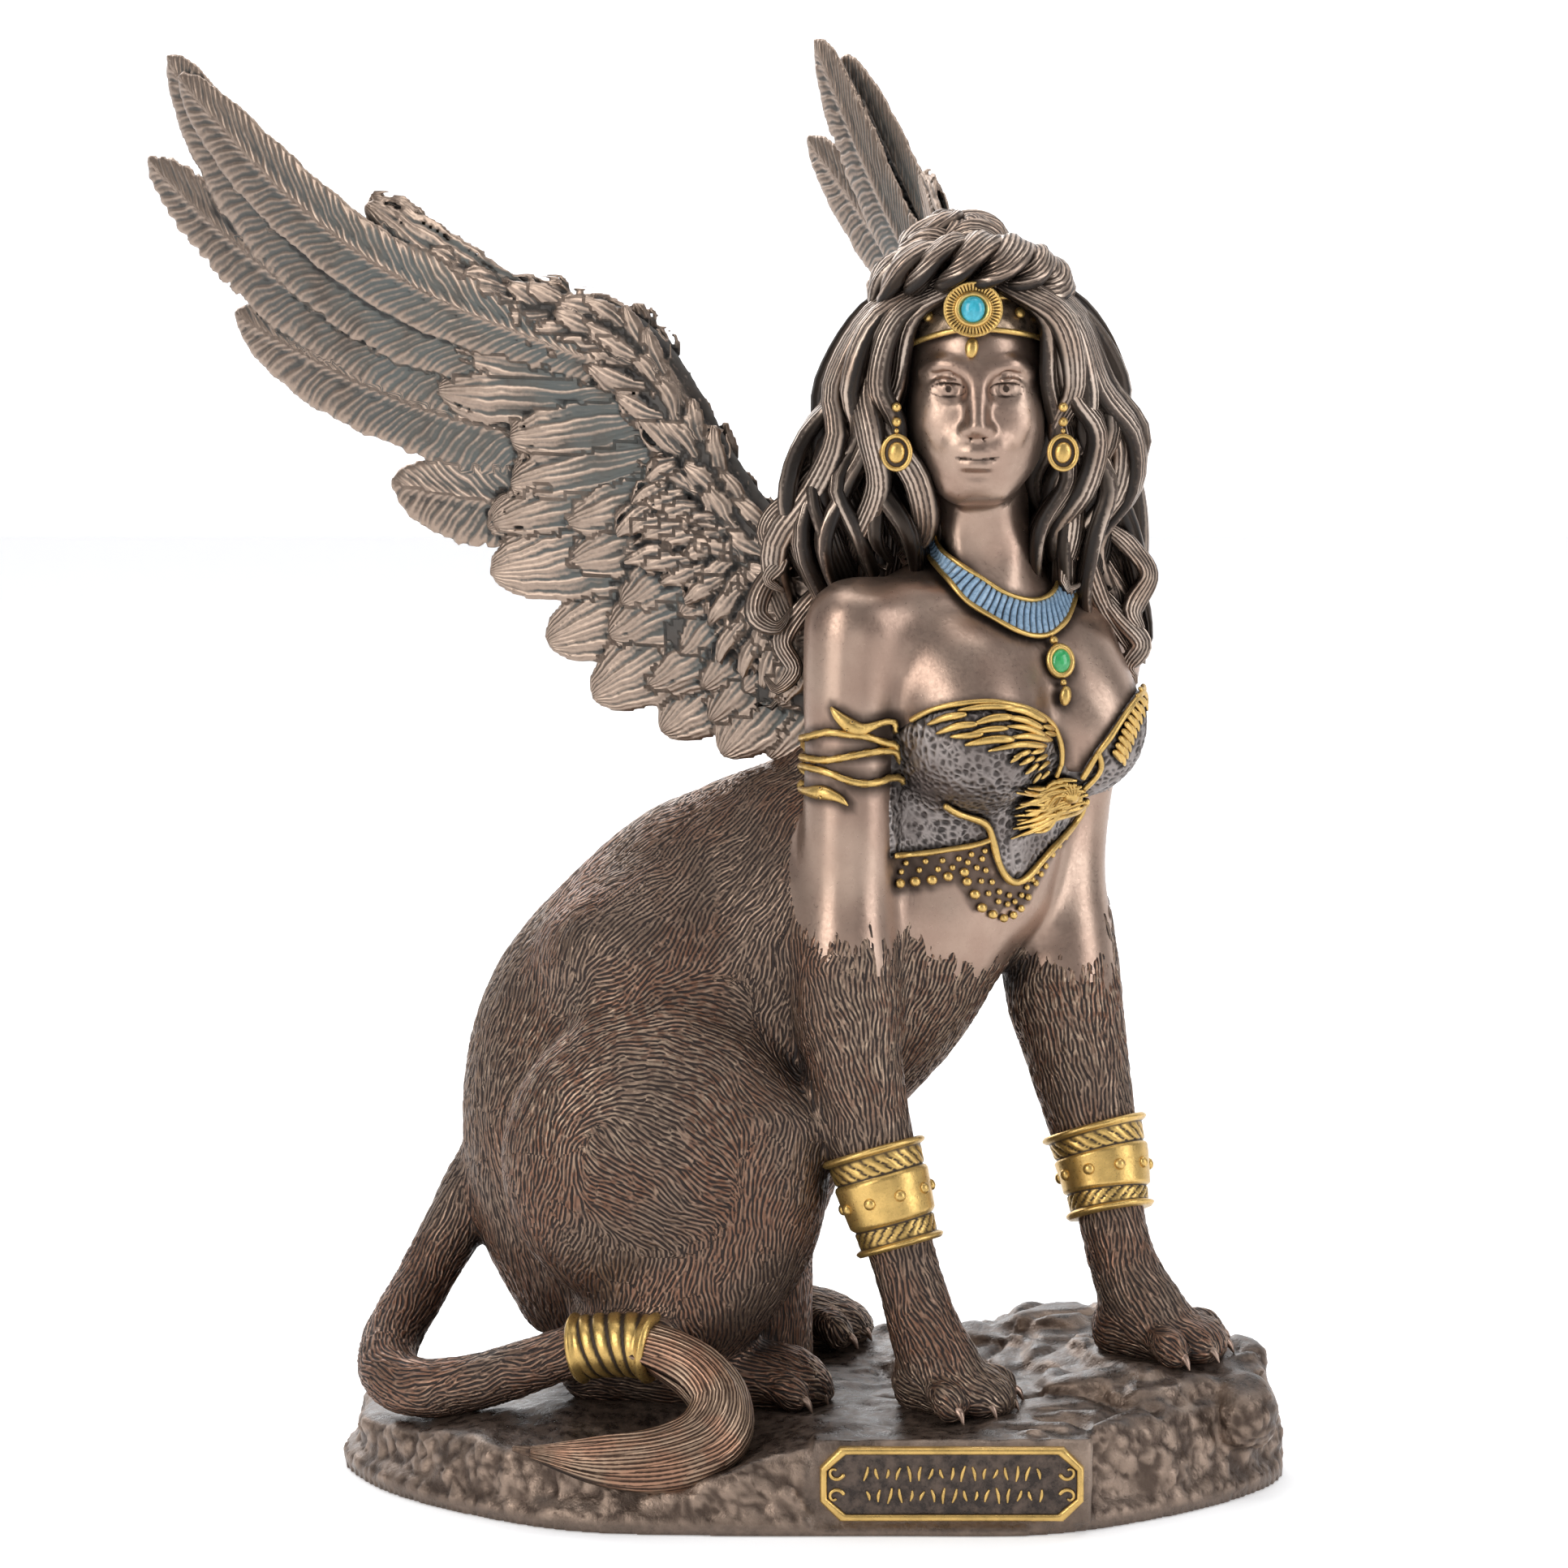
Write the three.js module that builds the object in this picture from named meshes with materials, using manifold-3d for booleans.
// Seated winged sphinx figurine, cast in one with its rocky base.
// Millimetres, +Z up, origin under the middle of the base, -Y is the front (plaque side).
import * as THREE from 'three';
import { mergeVertices } from 'three/addons/utils/BufferGeometryUtils.js';
import Module from 'manifold-3d';

const wasm = await Module();
wasm.setup();

// ---------------------------------------------------------------- driving sizes
const BASE = { left: -82, right: 82, front: -46.6, back: 46, lip: 4.2 };
const BAND = [2.5, 15.2];                 // plaque, lowest and highest edge
const PLAQUE = { x: 23.5, w: 44.5, y: -43.6, deep: 3.2, chamfer: 3.4, rim: 1.3 };
const TURN = THREE.MathUtils.degToRad(35); // how far the chest is turned to her left
const FWD = new THREE.Vector3(Math.sin(TURN), -Math.cos(TURN), 0);  // chest forward
const LEFT = new THREE.Vector3(Math.cos(TURN), Math.sin(TURN), 0);  // her left
const CHEST = new THREE.Vector3(29, 6, 128);
const HEAD = { c: [28, -0.6, 190.5], w: 12.1, d: 14.6, h: 19.3 };
// In plan each wing leaves the shoulder blade at `root` along `dir` and cups inwards by `cup` past s = CUP_FROM.
const CUP_FROM = 50;
const WING = {
  right: { root: [-5.6, 12], dir: [-0.943, 0.334], cup: [0, 0.0052], out: 1 },
  left: { root: [29.6, 39.6], dir: [-0.062, 0.9], cup: [-0.0042, 0], out: -1 },
  thick: 2.6,
};
const TAIL_R = 5.2;
const FACETS = 9600;                      // facets the finished solid is thinned to

const V = (x, y, z) => new THREE.Vector3(x, y, z);
const lerp = THREE.MathUtils.lerp;
const smooth = (a, b, x) => THREE.MathUtils.smoothstep(x, a, b);

// ---------------------------------------------------------------- solids
function solid(geometry) {
  const g = geometry.clone();
  g.deleteAttribute('normal');
  g.deleteAttribute('uv');
  const m = mergeVertices(g, 1e-4);
  const tri = m.index.array;
  const pos = m.attributes.position.array;
  let vol = 0;
  for (let i = 0; i < tri.length; i += 3) {
    const [a, b, c] = [tri[i] * 3, tri[i + 1] * 3, tri[i + 2] * 3];
    vol += pos[a] * (pos[b + 1] * pos[c + 2] - pos[b + 2] * pos[c + 1])
      + pos[a + 1] * (pos[b + 2] * pos[c] - pos[b] * pos[c + 2])
      + pos[a + 2] * (pos[b] * pos[c + 1] - pos[b + 1] * pos[c]);
  }
  const t = Uint32Array.from(tri);
  if (vol < 0) for (let i = 0; i < t.length; i += 3) [t[i], t[i + 1]] = [t[i + 1], t[i]];
  return new wasm.Manifold(new wasm.Mesh({ numProp: 3, vertProperties: Float32Array.from(pos), triVerts: t }));
}

// closed skin over a row of rings with the same number of points, ends closed to a point
function skin(rings, startTip, endTip) {
  const n = rings[0].length;
  const p = [];
  for (const r of rings) for (const v of r) p.push(v.x, v.y, v.z);
  const s = p.length / 3; p.push(startTip.x, startTip.y, startTip.z);
  const e = p.length / 3; p.push(endTip.x, endTip.y, endTip.z);
  const idx = [];
  for (let i = 0; i + 1 < rings.length; i++)
    for (let j = 0; j < n; j++) {
      const a = i * n + j, b = i * n + (j + 1) % n, c = a + n, d = b + n;
      if ((i + j) % 2) idx.push(a, b, c, b, d, c); else idx.push(a, b, d, a, d, c);
    }
  for (let j = 0; j < n; j++) {
    idx.push(s, (j + 1) % n, j);
    const o = (rings.length - 1) * n;
    idx.push(e, o + j, o + (j + 1) % n);
  }
  const g = new THREE.BufferGeometry();
  g.setAttribute('position', new THREE.BufferAttribute(Float32Array.from(p), 3));
  g.setIndex(idx);
  return solid(g);
}

// smooth row of values through stations, at n samples
function along(given, n) {
  const rows = given.map(r => (r.length === 4 ? [...r, r[3]] : r));
  const c = rows.map(r => V(r[0], r[1], r[2]));
  const curve = new THREE.CatmullRomCurve3(c, false, 'centripetal');
  const out = [];
  for (let i = 0; i < n; i++) {
    const t = i / (n - 1);
    const f = t * (rows.length - 1), k = Math.min(Math.floor(f), rows.length - 2), u = f - k;
    const w = u * u * (3 - 2 * u);
    out.push({ p: curve.getPoint(t), t: curve.getTangent(t).normalize(), r: rows[k].slice(3).map((v, q) => lerp(v, rows[k + 1][3 + q], w)) });
  }
  return out;
}

// limb: elliptic sections square to a smooth centreline. rows = [x, y, z, rSide, rFront?]
function limb(rows, { sides = 12, steps = 12, ref = FWD, round = 0.55, wobble = null } = {}) {
  const st = along(rows, steps);
  const rings = st.map(({ p, t, r }, i) => {
    const front = ref.clone().addScaledVector(t, -ref.dot(t)).normalize();
    const side = new THREE.Vector3().crossVectors(t, front);
    const a = r[0], b = r.length > 1 ? r[1] : r[0];
    return Array.from({ length: sides }, (_, j) => {
      const q = 2 * Math.PI * j / sides;
      const k = wobble ? wobble(i / (st.length - 1), q) : 1;
      return p.clone().addScaledVector(side, a * k * Math.cos(q)).addScaledVector(front, b * k * Math.sin(q));
    });
  });
  const s0 = st[0], s1 = st[st.length - 1];
  return skin(rings,
    s0.p.clone().addScaledVector(s0.t, -round * s0.r[0]),
    s1.p.clone().addScaledVector(s1.t, round * s1.r[0]));
}

function ball(c, r, { turn = [0, 0, 0], seg = [12, 8] } = {}) {
  const g = new THREE.SphereGeometry(1, seg[0], seg[1]);
  g.rotateX(Math.PI / 2);
  g.scale(...(Array.isArray(r) ? r : [r, r, r]));
  g.applyMatrix4(new THREE.Matrix4().makeRotationFromEuler(new THREE.Euler(...turn, 'XYZ')));
  g.translate(...c);
  return solid(g);
}

const parts = [];
const put = (...m) => parts.push(...m);

// ---------------------------------------------------------------- rocky base
// outline of the underside: a smooth closed line through its corners
const CORNERS = [
  [BASE.right, -3], [80, 15], [69, 33], [50, 42.5], [27, BASE.back - 0.5], [-8, BASE.back], [-42, 44.5], [-70, 35], [BASE.left, 13], [-76.5, -9], [-63, -27], [-42, -42.5],
  [-18, BASE.front + 0.3], [12, BASE.front], [38, BASE.front + 0.6], [57, -35.5], [73, -20],
].map(([x, y]) => V(x, y, 0));
const RIM = new THREE.CatmullRomCurve3(CORNERS, true, 'centripetal');
const outline = (f) => RIM.getPointAt(f).toArray();
// height of the rock: a middle level, lower at the front left, with named rises
const RISES = [ // x, y, radius, height
  [62, 0, 21, 6.2], [74, 6, 10, 2.5], [46, 34, 20, 5.5], [12, 42, 14, 2.5], [30, -22, 14, 1.2],
  [56, -18, 11, 2.6], [-66, 2, 12, -1.5], [70, -20, 9, -2.6], [-20, -36, 16, -3.5], [-40, 30, 18, 1.5],
];
function rock(x, y) {
  let h = 16.2 - 5.2 * smooth(-35, -85, x) - 4.6 * smooth(-18, -44, y) * smooth(8, -30, x);
  for (const [rx, ry, r, a] of RISES) h += a * Math.exp(-((x - rx) ** 2 + (y - ry) ** 2) / (r * r));
  return h + 0.45 * Math.sin(0.21 * x + 1.3 * Math.sin(0.11 * y)) * Math.sin(0.27 * y + 0.6);
}
function makeBase() {
  const n = 60, rings = [];
  const ring = (k, z) => Array.from({ length: n }, (_, j) => {
    const q = 2 * Math.PI * j / n;
    const [x, y] = outline(j / n);
    const X = x * k, Y = y * k;
    const jag = 0.9 * Math.sin(9 * q + 1) + 0.7 * Math.sin(17 * q);
    const zz = z(X, Y, jag);
    return V(X, Y, zz);
  });
  rings.push(ring(1, () => 0));
  rings.push(ring(1, () => BASE.lip));
  rings.push(ring(0.975, (x, y, g) => lerp(BASE.lip, rock(x, y), 0.55) + 0.3 * g));
  rings.push(ring(0.955, (x, y, g) => rock(x, y) - 1.6 + 0.4 * g));
  rings.push(ring(0.91, (x, y, g) => rock(x, y) - 0.2 + 0.3 * g));
  rings.push(ring(0.76, rock));
  rings.push(ring(0.56, rock));
  rings.push(ring(0.34, rock));
  rings.push(ring(0.14, rock));
  return skin(rings, V(0, 0, 0), V(0, 0, rock(0, 0)));
}
put(makeBase());

// plaque: plate with clipped corners and a raised rim, standing on the front of the rock
function plaque() {
  const { x, w, y, deep, chamfer: c, rim } = PLAQUE;
  const [z0, z1] = BAND;
  const edge = (i) => {
    const s = new THREE.Shape();
    const a = x - w / 2 + i, b = x + w / 2 - i, lo = z0 + i, hi = z1 - i;
    s.moveTo(a + c, lo); s.lineTo(b - c, lo); s.lineTo(b, lo + c * 0.7); s.lineTo(b, hi - c * 0.7);
    s.lineTo(b - c, hi); s.lineTo(a + c, hi); s.lineTo(a, hi - c * 0.7); s.lineTo(a, lo + c * 0.7);
    s.closePath();
    return s;
  };
  const plate = (shape, t, yy) => {
    const g = new THREE.ExtrudeGeometry(shape, { depth: t, bevelEnabled: false });
    g.rotateX(Math.PI / 2);      // shape plane XZ, thickness towards -Y
    g.translate(0, yy, 0);
    return solid(g);
  };
  const body = plate(edge(0), deep + 6, y + 6);
  const field = plate(edge(rim), 2, y - deep + 0.7);
  return body.subtract(field);
}
put(plaque());

// two low ledges of rock in front of the raised paw and at the right end
put(ball([55, -14, 18.4], [15, 5.5, 3.6], { seg: [10, 6] }));
put(ball([74, -12, 13.5], [7, 9, 7], { seg: [10, 6] }));

// ---------------------------------------------------------------- woman's torso
const T = (z, f, s, a, b) => [CHEST.x + FWD.x * f + LEFT.x * s, CHEST.y + FWD.y * f + LEFT.y * s, z, a, b];
put(limb([
  T(90, -7, -3, 11, 10), T(97, -1.5, -1, 14, 11.5), T(105, -0.4, 0, 15, 11.8), T(115, 0, 0, 17.2, 12.6),
  T(126, 2, 0, 20, 15.2), T(137, 3, 0, 22.3, 16), T(146, 2.6, 0, 24, 14.4), T(153, 0.6, 0, 21.5, 10.8),
  T(158, 0.3, 0, 13, 8.4),
], { sides: 20, steps: 17, round: 0.3 }));
put(limb([[30.5, 4.2, 152, 9.5], [30.3, 3, 160, 7.9], [29.3, 1.6, 168, 7.4], [28.4, 0.5, 178, 8]], { sides: 14, steps: 7, ref: V(0.2, -1, 0) }));
// bust
for (const s of [-10.6, 10.9]) {
  put(ball([CHEST.x + FWD.x * 11 + LEFT.x * s, CHEST.y + FWD.y * 11 + LEFT.y * s, 135], [12, 11, 11.5], { seg: [14, 9] }));
  put(ball([CHEST.x + FWD.x * 15.5 + LEFT.x * s, CHEST.y + FWD.y * 15.5 + LEFT.y * s, 130.5], [11.6, 11.2, 11.2], { seg: [16, 11] }));
}
// bodice: a hair proud of the ribs, coming to a point in front
put(limb([T(103.5, 0.2, 0, 14.6, 13), T(108, 0.2, 0, 16.4, 13.6), T(116, 1.4, 0, 18.2, 14.6), T(124, 2.2, 0, 19.8, 16)], { sides: 18, steps: 6, round: 0.02 }));

// ---------------------------------------------------------------- arms that become forelegs
const ARM_R = [[7.2, -8.8, 150, 9.4], [6.6, -9.5, 139, 8.9], [6.5, -10, 128, 8.5], [6.2, -10.5, 115.5, 8.2], [5.9, -11, 104.3, 8.2],
  [5.8, -12, 93.2, 9.2], [6.3, -12.5, 84.8, 9.1], [7.3, -13.5, 75.1, 8.4], [9.1, -15, 65.5, 7.8], [11.8, -17, 55.9, 7], [14.6, -18.5, 46.3, 6],
  [16.9, -20, 38.1, 5.8], [19.4, -21, 29.8, 6.3], [22.4, -21.6, 23.8, 6.8]];
const ARM_L = [[50.4, 21, 150, 9.4], [48.8, 20.5, 137, 8.9], [46.2, 20, 124, 8.4], [44.4, 19, 114, 8], [43.6, 17, 102.8, 8.2],
  [43.7, 15, 91.7, 9.8], [44.1, 13.5, 83.3, 10.4], [46.2, 11, 73.6, 9.2], [48.3, 9, 63.9, 8.2], [50.8, 6.5, 54.3, 6.9], [52.1, 4, 46.1, 6],
  [54, 1.5, 38, 6], [56.6, -0.5, 32, 6.6], [59, -1.4, 28, 7]];
put(limb(ARM_R, { sides: 12, steps: 18 }), limb(ARM_L, { sides: 12, steps: 18 }));
put(ball([6.8, -8.8, 149.6], [9.6, 9.6, 8.6]), ball([50.6, 20.6, 149.6], [9.6, 9.6, 8.6]));

// a paw: a low pad with toes fanned about its heading
function paw(heel, tip, floor, { w = 8.2, h = 5.6, toe = 4.1, toes = 4 } = {}) {
  const a = V(...heel), b = V(...tip);
  const d = b.clone().sub(a).setZ(0), L = d.length(); d.normalize();
  const s = V(-d.y, d.x, 0);
  const m = a.clone().addScaledVector(d, L * 0.45);
  const out = [limb([
    [a.x - d.x * 1, a.y - d.y * 1, floor + h * 0.9, w * 0.72, h * 0.9], [m.x, m.y, floor + h * 0.82, w, h], [b.x - d.x * 3, b.y - d.y * 3, floor + h * 0.6, w * 1.06, h * 0.72],
  ], { sides: 12, steps: 5, ref: V(0, 0, 1), round: 0.5 })];
  for (let i = 0; i < toes; i++) {
    const u = i / (toes - 1) * 2 - 1;
    const c = b.clone().addScaledVector(s, u * w * 0.98).addScaledVector(d, -1.6 * Math.abs(u) - 0.4);
    out.push(ball([c.x, c.y, floor + toe * 0.72], [toe * 1.25, toe * 0.82, toe * 0.95], { turn: [0, 0, Math.atan2(d.y, d.x) + u * 0.3], seg: [10, 7] }));
  }
  return out;
}
put(...paw([19, -19.5, 0], [33.2, -27.5, 0], 15.6), ...paw([54, 1.5, 0], [71.8, -5, 0], 20.6));

// ---------------------------------------------------------------- lion's body
// each section stands between a point of the back and a point of the belly
const TRUNK = [ // back, belly, half width
  [[8, 16, 139], [36, -3, 114], 16.5], [[-2.5, 17, 125.5], [34, -3, 97], 18], [[-17, 17, 119.5], [31, 1, 86], 19.5], [[-32.5, 17, 111.6], [24.5, 4, 74.5], 21],
  [[-51.5, 17, 92.5], [14, 8, 62], 23], [[-59, 17, 77], [3, 10, 48], 24], [[-61, 17, 58], [-7, 11, 33], 24], [[-57.5, 17, 39], [-18, 11, 20], 21], [[-50, 16, 24], [-26, 12, 12], 15],
];
function trunk() {
  const n = 20, rings = [], steps = 20;
  const back = new THREE.CatmullRomCurve3(TRUNK.map(r => V(...r[0])), false, 'centripetal');
  const belly = new THREE.CatmullRomCurve3(TRUNK.map(r => V(...r[1])), false, 'centripetal');
  for (let i = 0; i < steps; i++) {
    const t = i / (steps - 1), f = t * (TRUNK.length - 1), k = Math.min(Math.floor(f), TRUNK.length - 2);
    const w = lerp(TRUNK[k][2], TRUNK[k + 1][2], f - k);
    const p = back.getPoint(t), q = belly.getPoint(t);
    const c = p.clone().add(q).multiplyScalar(0.5), u = p.clone().sub(q).multiplyScalar(0.5);
    const s = V(-u.y, u.x, 0).normalize().multiplyScalar(-w);
    rings.push(Array.from({ length: n }, (_, j) => {
      const g = 2 * Math.PI * j / n;
      return c.clone().addScaledVector(u, Math.cos(g)).addScaledVector(s, Math.sin(g));
    }));
  }
  const mid = r => r.reduce((a, v) => a.add(v), V(0, 0, 0)).multiplyScalar(1 / r.length);
  const a = mid(rings[0]), b = mid(rings[rings.length - 1]);
  return skin(rings, a.clone().add(V(4, 0, 6)), b.clone().add(V(0, 0, -3)));
}
put(trunk());
// haunches with the shin folded under, and the long hind feet flat on the rock
for (const [sy, cy, dx] of [[-1, -8.5, 0], [1, 32.5, 3]]) {
  put(ball([-26 + dx, cy, 57.5], [27.5, 17, 27.5], { turn: [0.1 * sy, 0.35, -0.12 * sy], seg: [18, 12] }));
  put(limb([[-8 + dx, cy - 1 + sy * 2, 64, 11, 12], [-11 + dx, cy + sy * 2, 46, 12, 14], [-24 + dx, cy + sy, 31, 13, 14], [-38 + dx, cy, 22, 8, 8]], { sides: 12, steps: 8, ref: V(1, 0, 0.4) }));
  put(limb([[-34 + dx, cy + sy, 20, 6.5, 6], [-18 + dx, cy + sy, 20, 7, 6], [-6 + dx, cy + sy, 19.5, 7, 5.5]], { sides: 10, steps: 5, ref: V(0, 0, 1) }));
  put(...paw([-12 + dx * 2, cy + sy, 0], [2.6 + dx * 2.6, cy + sy * 1.5, 0], sy < 0 ? 14.2 : 16, { w: 8, h: 5.6, toe: 4 }));
}

// ---------------------------------------------------------------- tail, its ring and its tuft
put(limb([[-46, 18, 62, 7], [-57, 19, 50.5, 6], [-62.4, 18, 41.5, 5.4], [-68.4, 14, 31, 5], [-73.6, 6, 22.6, TAIL_R - 0.1], [-73.4, -2, 18, TAIL_R], [-67.4, -8, 16.9, TAIL_R],
  [-58.6, -12, 18.8, TAIL_R], [-50.4, -16, 22, TAIL_R], [-41.9, -20, 25.8, TAIL_R], [-33.5, -22.5, 27.9, TAIL_R], [-26.5, -25, 27.4, TAIL_R]], { sides: 10, steps: 26, ref: V(0.3, 0.2, 1) }));
put(limb([[-39, -21, 27.5, 5.7], [-33, -22.6, 28.5, 6], [-27, -24.8, 27.6, 5.7]], { sides: 12, steps: 4, ref: V(0, 0, 1), round: 0.02 }));
put(limb([[-29, -24.5, 27.8, 4.8, 4.8], [-20.5, -29, 24.6, 5.6, 5.6], [-15.8, -33.5, 19, 6.6, 6], [-18.2, -38, 14, 7.2, 5.6], [-26, -40.5, 11.8, 7, 4.6], [-35.5, -41, 11.6, 5.4, 3.6], [-44, -40.4, 12.6, 3.2, 2.4], [-50.5, -40, 13.6, 1, 1]],
  { sides: 12, steps: 18, ref: V(0.1, -0.4, 1), wobble: (t, q) => 1 + 0.07 * Math.sin(5 * q + 9 * t) }));

// ---------------------------------------------------------------- bracelets, armlet, collar, diadem
function cuff(row, from, to) {   // ring of rims and bands about a stretch of a limb
  const st = along(row, 60);
  const pick = f => st[Math.round(f * 59)];
  const rows = [];
  const prof = [[0, 1.5], [0.1, 1.9], [0.14, 1.1], [0.36, 1.1], [0.4, 1.8], [0.62, 1.8], [0.66, 1.1], [0.87, 1.1], [0.9, 1.9], [1, 1.5]];
  for (const [u, d] of prof) { const k = pick(lerp(from, to, u)); rows.push([k.p, k.t, k.r[0] + d]); }
  const n = 16;
  const rings = rows.map(([p, t, r]) => {
    const f = FWD.clone().addScaledVector(t, -FWD.dot(t)).normalize(), s = new THREE.Vector3().crossVectors(t, f);
    return Array.from({ length: n }, (_, j) => { const q = 2 * Math.PI * j / n; return p.clone().addScaledVector(s, r * Math.cos(q)).addScaledVector(f, r * Math.sin(q)); });
  });
  return skin(rings, rows[0][0], rows[rows.length - 1][0]);
}
put(cuff(ARM_R, 0.655, 0.79), cuff(ARM_L, 0.645, 0.775));
// snake armlet: one closed strand wound about the upper right arm
{
  const pts = [];
  for (let i = 0; i <= 26; i++) {
    const u = i / 26, q = u * 2 * Math.PI * 2.6 - 1.2;
    const z = lerp(133.5, 119.5, u) + 1.2 * Math.sin(q * 1.5);
    pts.push([6.4 + 8.9 * Math.cos(q), -10.2 + 8.9 * Math.sin(q), z, u < 0.06 || u > 0.94 ? 1.5 : 1.05]);
  }
  put(limb(pts, { sides: 5, steps: 40, ref: V(0, 0, 1) }));
}
// collar lying on the chest, and its pendant
put(limb([[21.5, 2, 161, 1], [25, -5.5, 157.3, 3.2, 1.6], [31.5, -9.6, 151.6, 3.6, 2], [39, -9.4, 147.4, 3.8, 2], [42.6, -3.4, 150.8, 3.6, 2], [41, 3.5, 155.8, 3, 1.6], [38, 8, 160, 1]], { sides: 8, steps: 12, ref: FWD }));
put(ball([40.2, -9.8, 139.2], [2.6, 2.2, 3.1], { seg: [10, 6] }));

// ---------------------------------------------------------------- head and hair
put(ball(HEAD.c, [HEAD.w, HEAD.d, HEAD.h], { seg: [20, 14] }));
put(ball([HEAD.c[0], -4.2, 179.2], [8.6, 9.6, 9.8], { seg: [14, 9] }));              // jaw
put(limb([[28, -14.4, 190.5, 1.2], [28, -16.4, 186.6, 1.5], [28, -17.2, 184, 2], [28, -15.6, 182, 1.6]], { sides: 6, steps: 5, ref: V(1, 0, 0) }));
// hair: cap, rolled wreath and twisted knot
put(ball([27, 3.2, 197], [16.2, 17.2, 17], { seg: [18, 12] }));
{
  const g = new THREE.TorusGeometry(10.2, 4.6, 8, 18);
  g.scale(1.12, 1.05, 1);
  g.rotateX(-0.22);
  g.translate(26.6, 0.5, 207.6);
  put(solid(g));
}
put(ball([24.6, 1.5, 214.4], [9, 8, 6.2], { turn: [0, -0.15, 0], seg: [14, 9] }));
put(ball([19.8, 0.5, 213], [5, 5, 4.6], { seg: [8, 6] }), ball([30.5, 1, 212.4], [5, 5, 4.4], { seg: [8, 6] }));
// locks: each falls from the parting along a swaying line; side -1 is her right
function lock(from, to, sway, r0, r1, ph) {
  const rows = [];
  const n = 7, a = V(...from), b = V(...to);
  for (let i = 0; i <= n; i++) {
    const u = i / n, s = Math.sin(u * Math.PI * 2.6 + ph) * sway * Math.sin(Math.PI * Math.min(1, u + 0.15));
    const p = a.clone().lerp(b, u);
    rows.push([p.x + s, p.y - 2.5 * Math.sin(Math.PI * u), p.z, lerp(r0, r1, u) * (0.75 + 0.5 * Math.sin(Math.PI * Math.min(u * 1.15, 1)))]);
  }
  return limb(rows, { sides: 6, steps: 9, ref: V(0, -1, 0), round: 0.9 });
}
const LOCKS = [ // from, to, sway, radius at top and end, phase
  [[17, -7, 205], [2, -2, 170], 2.2, 3.4, 4.4, 0], [[16, -5, 204], [7, -6, 156], 2.6, 3.2, 4.2, 1.6], [[14, 0, 203], [-2, 3, 160], 2.2, 3.6, 4.4, 3],
  [[14, 2, 200], [0.5, 7, 144], 3, 3.8, 3.8, 0.8], [[13, 6, 200], [-3, 11, 152], 3, 4, 3.6, 2.4], [[17, -6, 198], [13, -4, 160], 1.8, 3, 4, 4],
  [[38, -7, 205], [52, -2, 172], 2.2, 3.4, 4.6, 3.2], [[39, -5, 203], [47, -1, 156], 2.4, 3.2, 4.4, 1.2], [[41, 0, 203], [54, 4, 160], 2.4, 3.6, 4.4, 0.2],
  [[41, 2, 200], [56, 8, 142], 3, 3.8, 3.8, 2.2], [[41, 6, 200], [53, 13, 150], 3, 4, 3.8, 4.1], [[38, -5, 197], [44, -2, 168], 1.6, 3, 4, 5],
];
for (const l of LOCKS) put(lock(...l));
put(limb([[27, 14, 202, 13, 7], [26, 18, 188, 17, 8], [24, 21, 170, 19, 8], [23, 22, 154, 17, 7], [22, 22, 142, 12, 5]], { sides: 14, steps: 9, ref: V(-0.4, 0.9, 0), wobble: (t, q) => 1 + 0.05 * Math.sin(6 * q + 6 * t) }));
// diadem band, its disc, and the ear discs
{
  const rows = [];
  for (let i = 0; i <= 10; i++) { const q = Math.PI * (0.06 + 0.88 * i / 10); rows.push([28 - 13.2 * Math.cos(q), 1.5 - 15.8 * Math.sin(q), 199.2 + 1.6 * Math.sin(q) - 0.8, 1.1, 2.6]); }
  put(limb(rows, { sides: 8, steps: 13, ref: V(0, 0, 1) }));
}
put(ball([27.4, -15.6, 203.4], [5, 1.9, 5.4], { seg: [14, 8] }));
for (const x of [14.4, 42.2]) put(ball([x, -6.4, 178.6], [2.6, 1.5, 2.8], { seg: [10, 6] }), ball([x, -6, 183.4], [1.3, 1.3, 2.6], { seg: [6, 5] }));

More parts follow.
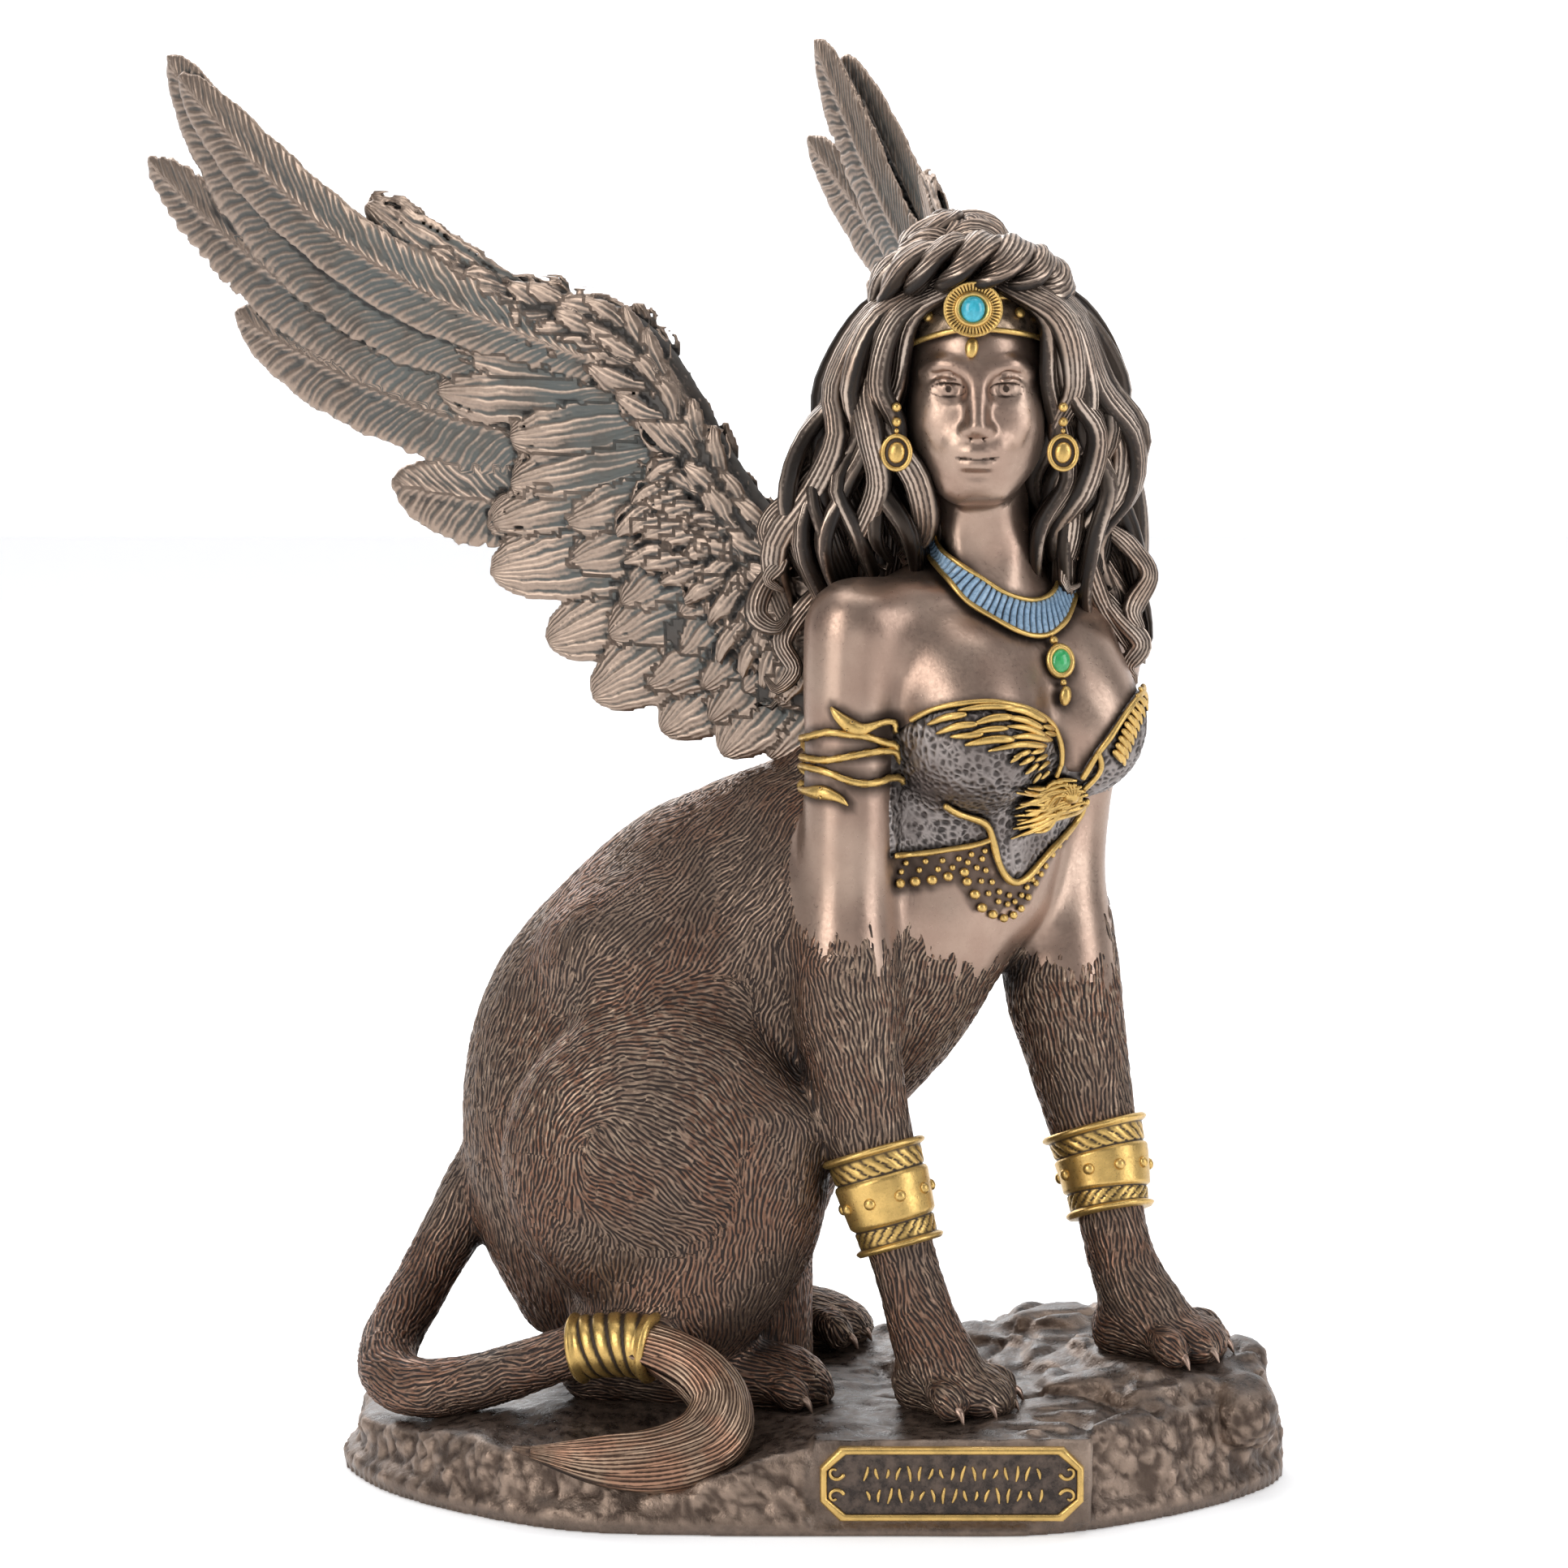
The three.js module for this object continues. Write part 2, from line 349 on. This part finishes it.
// ---------------------------------------------------------------- wings
// A wing lies in an upright plane: s runs outward from the shoulder, z is height.
function wing({ root, dir, cup, out: side }) {
  const plan = (s) => {
    const c = Math.max(0, s - CUP_FROM) ** 2, k = 2 * Math.max(0, s - CUP_FROM);
    const t = new THREE.Vector2(dir[0] + cup[0] * k, dir[1] + cup[1] * k).normalize();
    return { x: root[0] + dir[0] * s + cup[0] * c, y: root[1] + dir[1] * s + cup[1] * c, nx: -t.y * side, ny: t.x * side };
  };
  const at = (s, z, n = 0) => { const p = plan(s); return V(p.x + p.nx * n, p.y + p.ny * n, z); };
  const F3 = V(plan(30).nx, plan(30).ny, 0);
  const out = [];
  const arm = [[-20, 146, 6, 8], [-8, 154, 5.6, 7.6], [4, 162, 5.2, 6.8], [12, 172.5, 4.6, 6], [19, 185, 4.2, 5.6], [25.5, 194, 4, 5.6], [33, 198.6, 3.6, 5.2], [43, 200.5, 3, 4.6], [56, 205, 2.4, 3.4], [70, 211, 1.8, 2.2]];
  out.push(limb(arm.map(([s, z, t, w]) => { const p = at(s, z); return [p.x, p.y, p.z, w, t]; }), { sides: 10, steps: 18, ref: F3 }));
  // the web that carries the feathers from the shoulder to the arm
  out.push(limb([[-19, 141, 8, 5], [-4, 144, 13, 4], [12, 153, 15, 3.4], [23, 167, 15, 2.8], [31, 181, 12, 2.2]].map(([s, z, w, t]) => { const p = at(s, z); return [p.x, p.y, p.z, w, t]; }), { sides: 10, steps: 9, ref: F3 }));
  // feather: blade with a rounded tip, thick at its quill
  const feather = (s0, z0, s1, z1, w, n0, n1, t, bow = 0) => {
    const L = Math.hypot(s1 - s0, z1 - z0), es = -(z1 - z0) / L, ez = (s1 - s0) / L;
    const rings = [[0, 0.45], [0.2, 0.8], [0.42, 1], [0.64, 1], [0.82, 0.9], [0.94, 0.6], [0.99, 0.25]].map(([u, k]) => {
      const b = Math.sin(Math.PI * u) * bow, n = lerp(n0, n1, u);
      const h = w * k, q = t * (0.5 + 0.5 * k);
      return [[-h, -q * 0.3], [-h * 0.35, -q * 0.5], [h * 0.5, -q * 0.45], [h, -q * 0.2], [h, q * 0.3], [0, q * 0.62], [-h, q * 0.3]]
        .map(([x, y]) => at(lerp(s0, s1, u) + es * (b + x), lerp(z0, z1, u) + ez * (b + x), n + y));
    });
    return skin(rings, at(s0, z0, n0), at(s1, z1, n1));
  };
  const T0 = WING.thick;
  const row = (list) => { for (const f of list) out.push(feather(...f)); };
  row([ // long flight feathers, top to bottom: quill s z, tip s z, half width, set-off, set-off at tip, thickness, bow
    [32, 192, 116.4, 243.6, 7, -1.2, -3.6, T0, -11], [32, 193, 112.6, 240.6, 6.4, 1.2, 1.6, T0, -10], [24, 186, 122, 224.8, 7.4, -1.6, -4, T0, -10.5],
    [20, 178, 104.8, 198.2, 7.6, -1, -2, T0, -6], [15, 168, 73.6, 169.8, 7.6, -0.6, -1, T0, -2],
  ]);
  row([ // shorter flight feathers down to the shoulder
    [10, 164, 54, 155.2, 7.4, 0, 0, T0], [6, 158, 43.5, 143, 7.4, 0.3, 0.3, T0], [2, 152, 34.8, 133.8, 7, 0, 0, T0], [-3, 148, 22, 128, 6.6, 0.3, 0.3, T0], [-8, 146, 10.5, 124.6, 6, 0, 0, T0], [-13, 145, 2, 124.4, 5.4, 0, 0, T0],
  ]);
  for (const g of [1, -1]) row([ // coverts on both faces, thicker towards the shoulder
    [36, 198, 76, 214.5, 6.6, g * 2, g * 1.8, 2.4, -2], [30, 194, 60, 195, 7.4, g * 2.2, g * 1.8, 2.4], [26, 190, 62, 187, 7.2, g * 2, g * 1.6, 2.2],
    [18, 179, 49, 170.4, 7.6, g * 2.4, g * 1.8, 2.4], [12, 170, 38, 161, 7.2, g * 3, g * 2.2, 2.4], [6, 161, 28.5, 149, 7.4, g * 3, g * 2.4, 2.4], [0, 154, 17, 140, 7, g * 3.2, g * 2.4, 2.4],
  ]);
  return out;
}
put(...wing(WING.right), ...wing(WING.left));

// ---------------------------------------------------------------- join into the one casting
let body = wasm.Manifold.union(parts);
// trim anything below the underside
const trimBox = new THREE.BoxGeometry(400, 400, 60);
trimBox.translate(0, 0, -30);
body = body.subtract(solid(trimBox));

// Thin the facets out to FACETS in all: edges are drawn together in order of how little
// they move the surface, and only where the skin stays closed and no facet turns over.
function thin(manifold, FACETS) {
  const m = manifold.getMesh(), np = m.numProp, nv = m.vertProperties.length / np;
  const P = Array.from({ length: nv }, (_, i) => [0, 1, 2].map(k => m.vertProperties[i * np + k]));
  const T = [], inc = Array.from({ length: nv }, () => new Set());
  for (let i = 0; i < m.triVerts.length; i += 3) {
    const t = [m.triVerts[i], m.triVerts[i + 1], m.triVerts[i + 2]];
    for (const v of t) inc[v].add(T.length);
    T.push(t);
  }
  const sub = (a, b) => [a[0] - b[0], a[1] - b[1], a[2] - b[2]];
  const cross = (u, v) => [u[1] * v[2] - u[2] * v[1], u[2] * v[0] - u[0] * v[2], u[0] * v[1] - u[1] * v[0]];
  const dot = (a, b) => a[0] * b[0] + a[1] * b[1] + a[2] * b[2];
  const normal = (a, b, c) => cross(sub(b, a), sub(c, a));
  const Q = Array.from({ length: nv }, () => new Float64Array(10));
  for (const t of T) {
    const n = normal(...t.map(v => P[v])), l = Math.hypot(...n);
    if (l < 1e-12) continue;
    const [x, y, z] = n.map(v => v / l), w = -(x * P[t[0]][0] + y * P[t[0]][1] + z * P[t[0]][2]);
    const q = [x * x, x * y, x * z, x * w, y * y, y * z, y * w, z * z, z * w, w * w];
    for (const v of t) for (let k = 0; k < 10; k++) Q[v][k] += q[k] * (l / 2 + 0.02);
  }
  const cost = (q, [x, y, z]) => q[0] * x * x + 2 * q[1] * x * y + 2 * q[2] * x * z + 2 * q[3] * x + q[4] * y * y + 2 * q[5] * y * z + 2 * q[6] * y + q[7] * z * z + 2 * q[8] * z + q[9];
  const age = new Int32Array(nv), heap = [];
  const up = (i) => { while (i > 0) { const p = (i - 1) >> 1; if (heap[p][0] <= heap[i][0]) break; [heap[p], heap[i]] = [heap[i], heap[p]]; i = p; } };
  const down = (i) => { for (;;) { let l = 2 * i + 1, r = l + 1, s = i; if (l < heap.length && heap[l][0] < heap[s][0]) s = l; if (r < heap.length && heap[r][0] < heap[s][0]) s = r; if (s === i) break; [heap[s], heap[i]] = [heap[i], heap[s]]; i = s; } };
  const push = (i, j) => {
    const q = Q[i].map((v, k) => v + Q[j][k]);
    const mid = [0, 1, 2].map(k => (P[i][k] + P[j][k]) / 2);
    const d = sub(P[i], P[j]), L2 = dot(d, d);
    const pick = [mid, P[i], P[j]];
    const det = q[0] * (q[4] * q[7] - q[5] * q[5]) - q[1] * (q[1] * q[7] - q[5] * q[2]) + q[2] * (q[1] * q[5] - q[4] * q[2]);
    if (Math.abs(det) > 1e-6) {
      const [b0, b1, b2] = [-q[3], -q[6], -q[8]];
      const o = [
        (b0 * (q[4] * q[7] - q[5] * q[5]) - q[1] * (b1 * q[7] - q[5] * b2) + q[2] * (b1 * q[5] - q[4] * b2)) / det,
        (q[0] * (b1 * q[7] - b2 * q[5]) - b0 * (q[1] * q[7] - q[5] * q[2]) + q[2] * (q[1] * b2 - b1 * q[2])) / det,
        (q[0] * (q[4] * b2 - q[5] * b1) - q[1] * (q[1] * b2 - b1 * q[2]) + b0 * (q[1] * q[5] - q[4] * q[2])) / det];
      const e = sub(o, mid);
      if (dot(e, e) < L2) pick.push(o);
    }
    let best = null, c = Infinity;
    for (const p of pick) { const k = cost(q, p); if (k < c) { c = k; best = p; } }
    heap.push([Math.max(c, 0) + 1e-3 * L2, i, j, age[i], age[j], best]);
    up(heap.length - 1);
  };
  const ring = (i) => { const s = new Set(); for (const k of inc[i]) for (const v of T[k]) if (v !== i) s.add(v); return s; };
  for (let i = 0; i < nv; i++) for (const j of ring(i)) if (i < j) push(i, j);
  let left = T.length;
  const dead = new Uint8Array(T.length);
  while (left > FACETS && heap.length) {
    const [, i, j, ai, aj, p] = heap[0];
    const last = heap.pop(); if (heap.length) { heap[0] = last; down(0); }
    if (age[i] !== ai || age[j] !== aj || !inc[i].size || !inc[j].size) continue;
    const ri = ring(i), rj = ring(j);
    const common = [...ri].filter(k => rj.has(k));
    if (common.length !== 2) continue;
    let bad = false;
    for (const [v, w] of [[i, j], [j, i]]) for (const k of inc[v]) {
      const t = T[k]; if (t.includes(w)) continue;
      const a = normal(...t.map(u => P[u])), q = t.map(u => (u === v ? p : P[u])), b = normal(...q);
      const la = Math.hypot(...a), lb = Math.hypot(...b);
      const e = Math.max(...[0, 1, 2].map(u => { const d = sub(q[u], q[(u + 1) % 3]); return dot(d, d); }));
      if (lb < 0.05 * e * 0.5 || (la > 1e-9 && dot(a, b) < 0.25 * la * lb)) { bad = true; break; }
    }
    if (bad) continue;
    for (const k of [...inc[i]]) {
      const t = T[k];
      if (t.includes(j)) { dead[k] = 1; left--; for (const v of t) inc[v].delete(k); continue; }
      t[t.indexOf(i)] = j; inc[j].add(k);
    }
    inc[i].clear();
    P[j] = p; for (let k = 0; k < 10; k++) Q[j][k] += Q[i][k];
    age[j]++; age[i]++;
    const around = ring(j);
    for (const v of around) push(v, j);
  }
  return { P, T: T.filter((_, k) => !dead[k]) };
}
const skinned = thin(body, FACETS);
const geometry = new THREE.BufferGeometry();
{
  const used = new Map(), pos = [], idx = [];
  for (const t of skinned.T) for (const v of t) {
    if (!used.has(v)) { used.set(v, pos.length / 3); pos.push(...skinned.P[v]); }
    idx.push(used.get(v));
  }
  geometry.setAttribute('position', new THREE.BufferAttribute(Float32Array.from(pos), 3));
  geometry.setIndex(idx);
  geometry.computeVertexNormals();
}

const statue = new THREE.Group();
const mesh = new THREE.Mesh(geometry, new THREE.MeshStandardMaterial({ color: 0x6e5a48, roughness: 0.42, metalness: 0.85 }));
mesh.name = 'sphinx_statue';
statue.add(mesh);
export default statue;
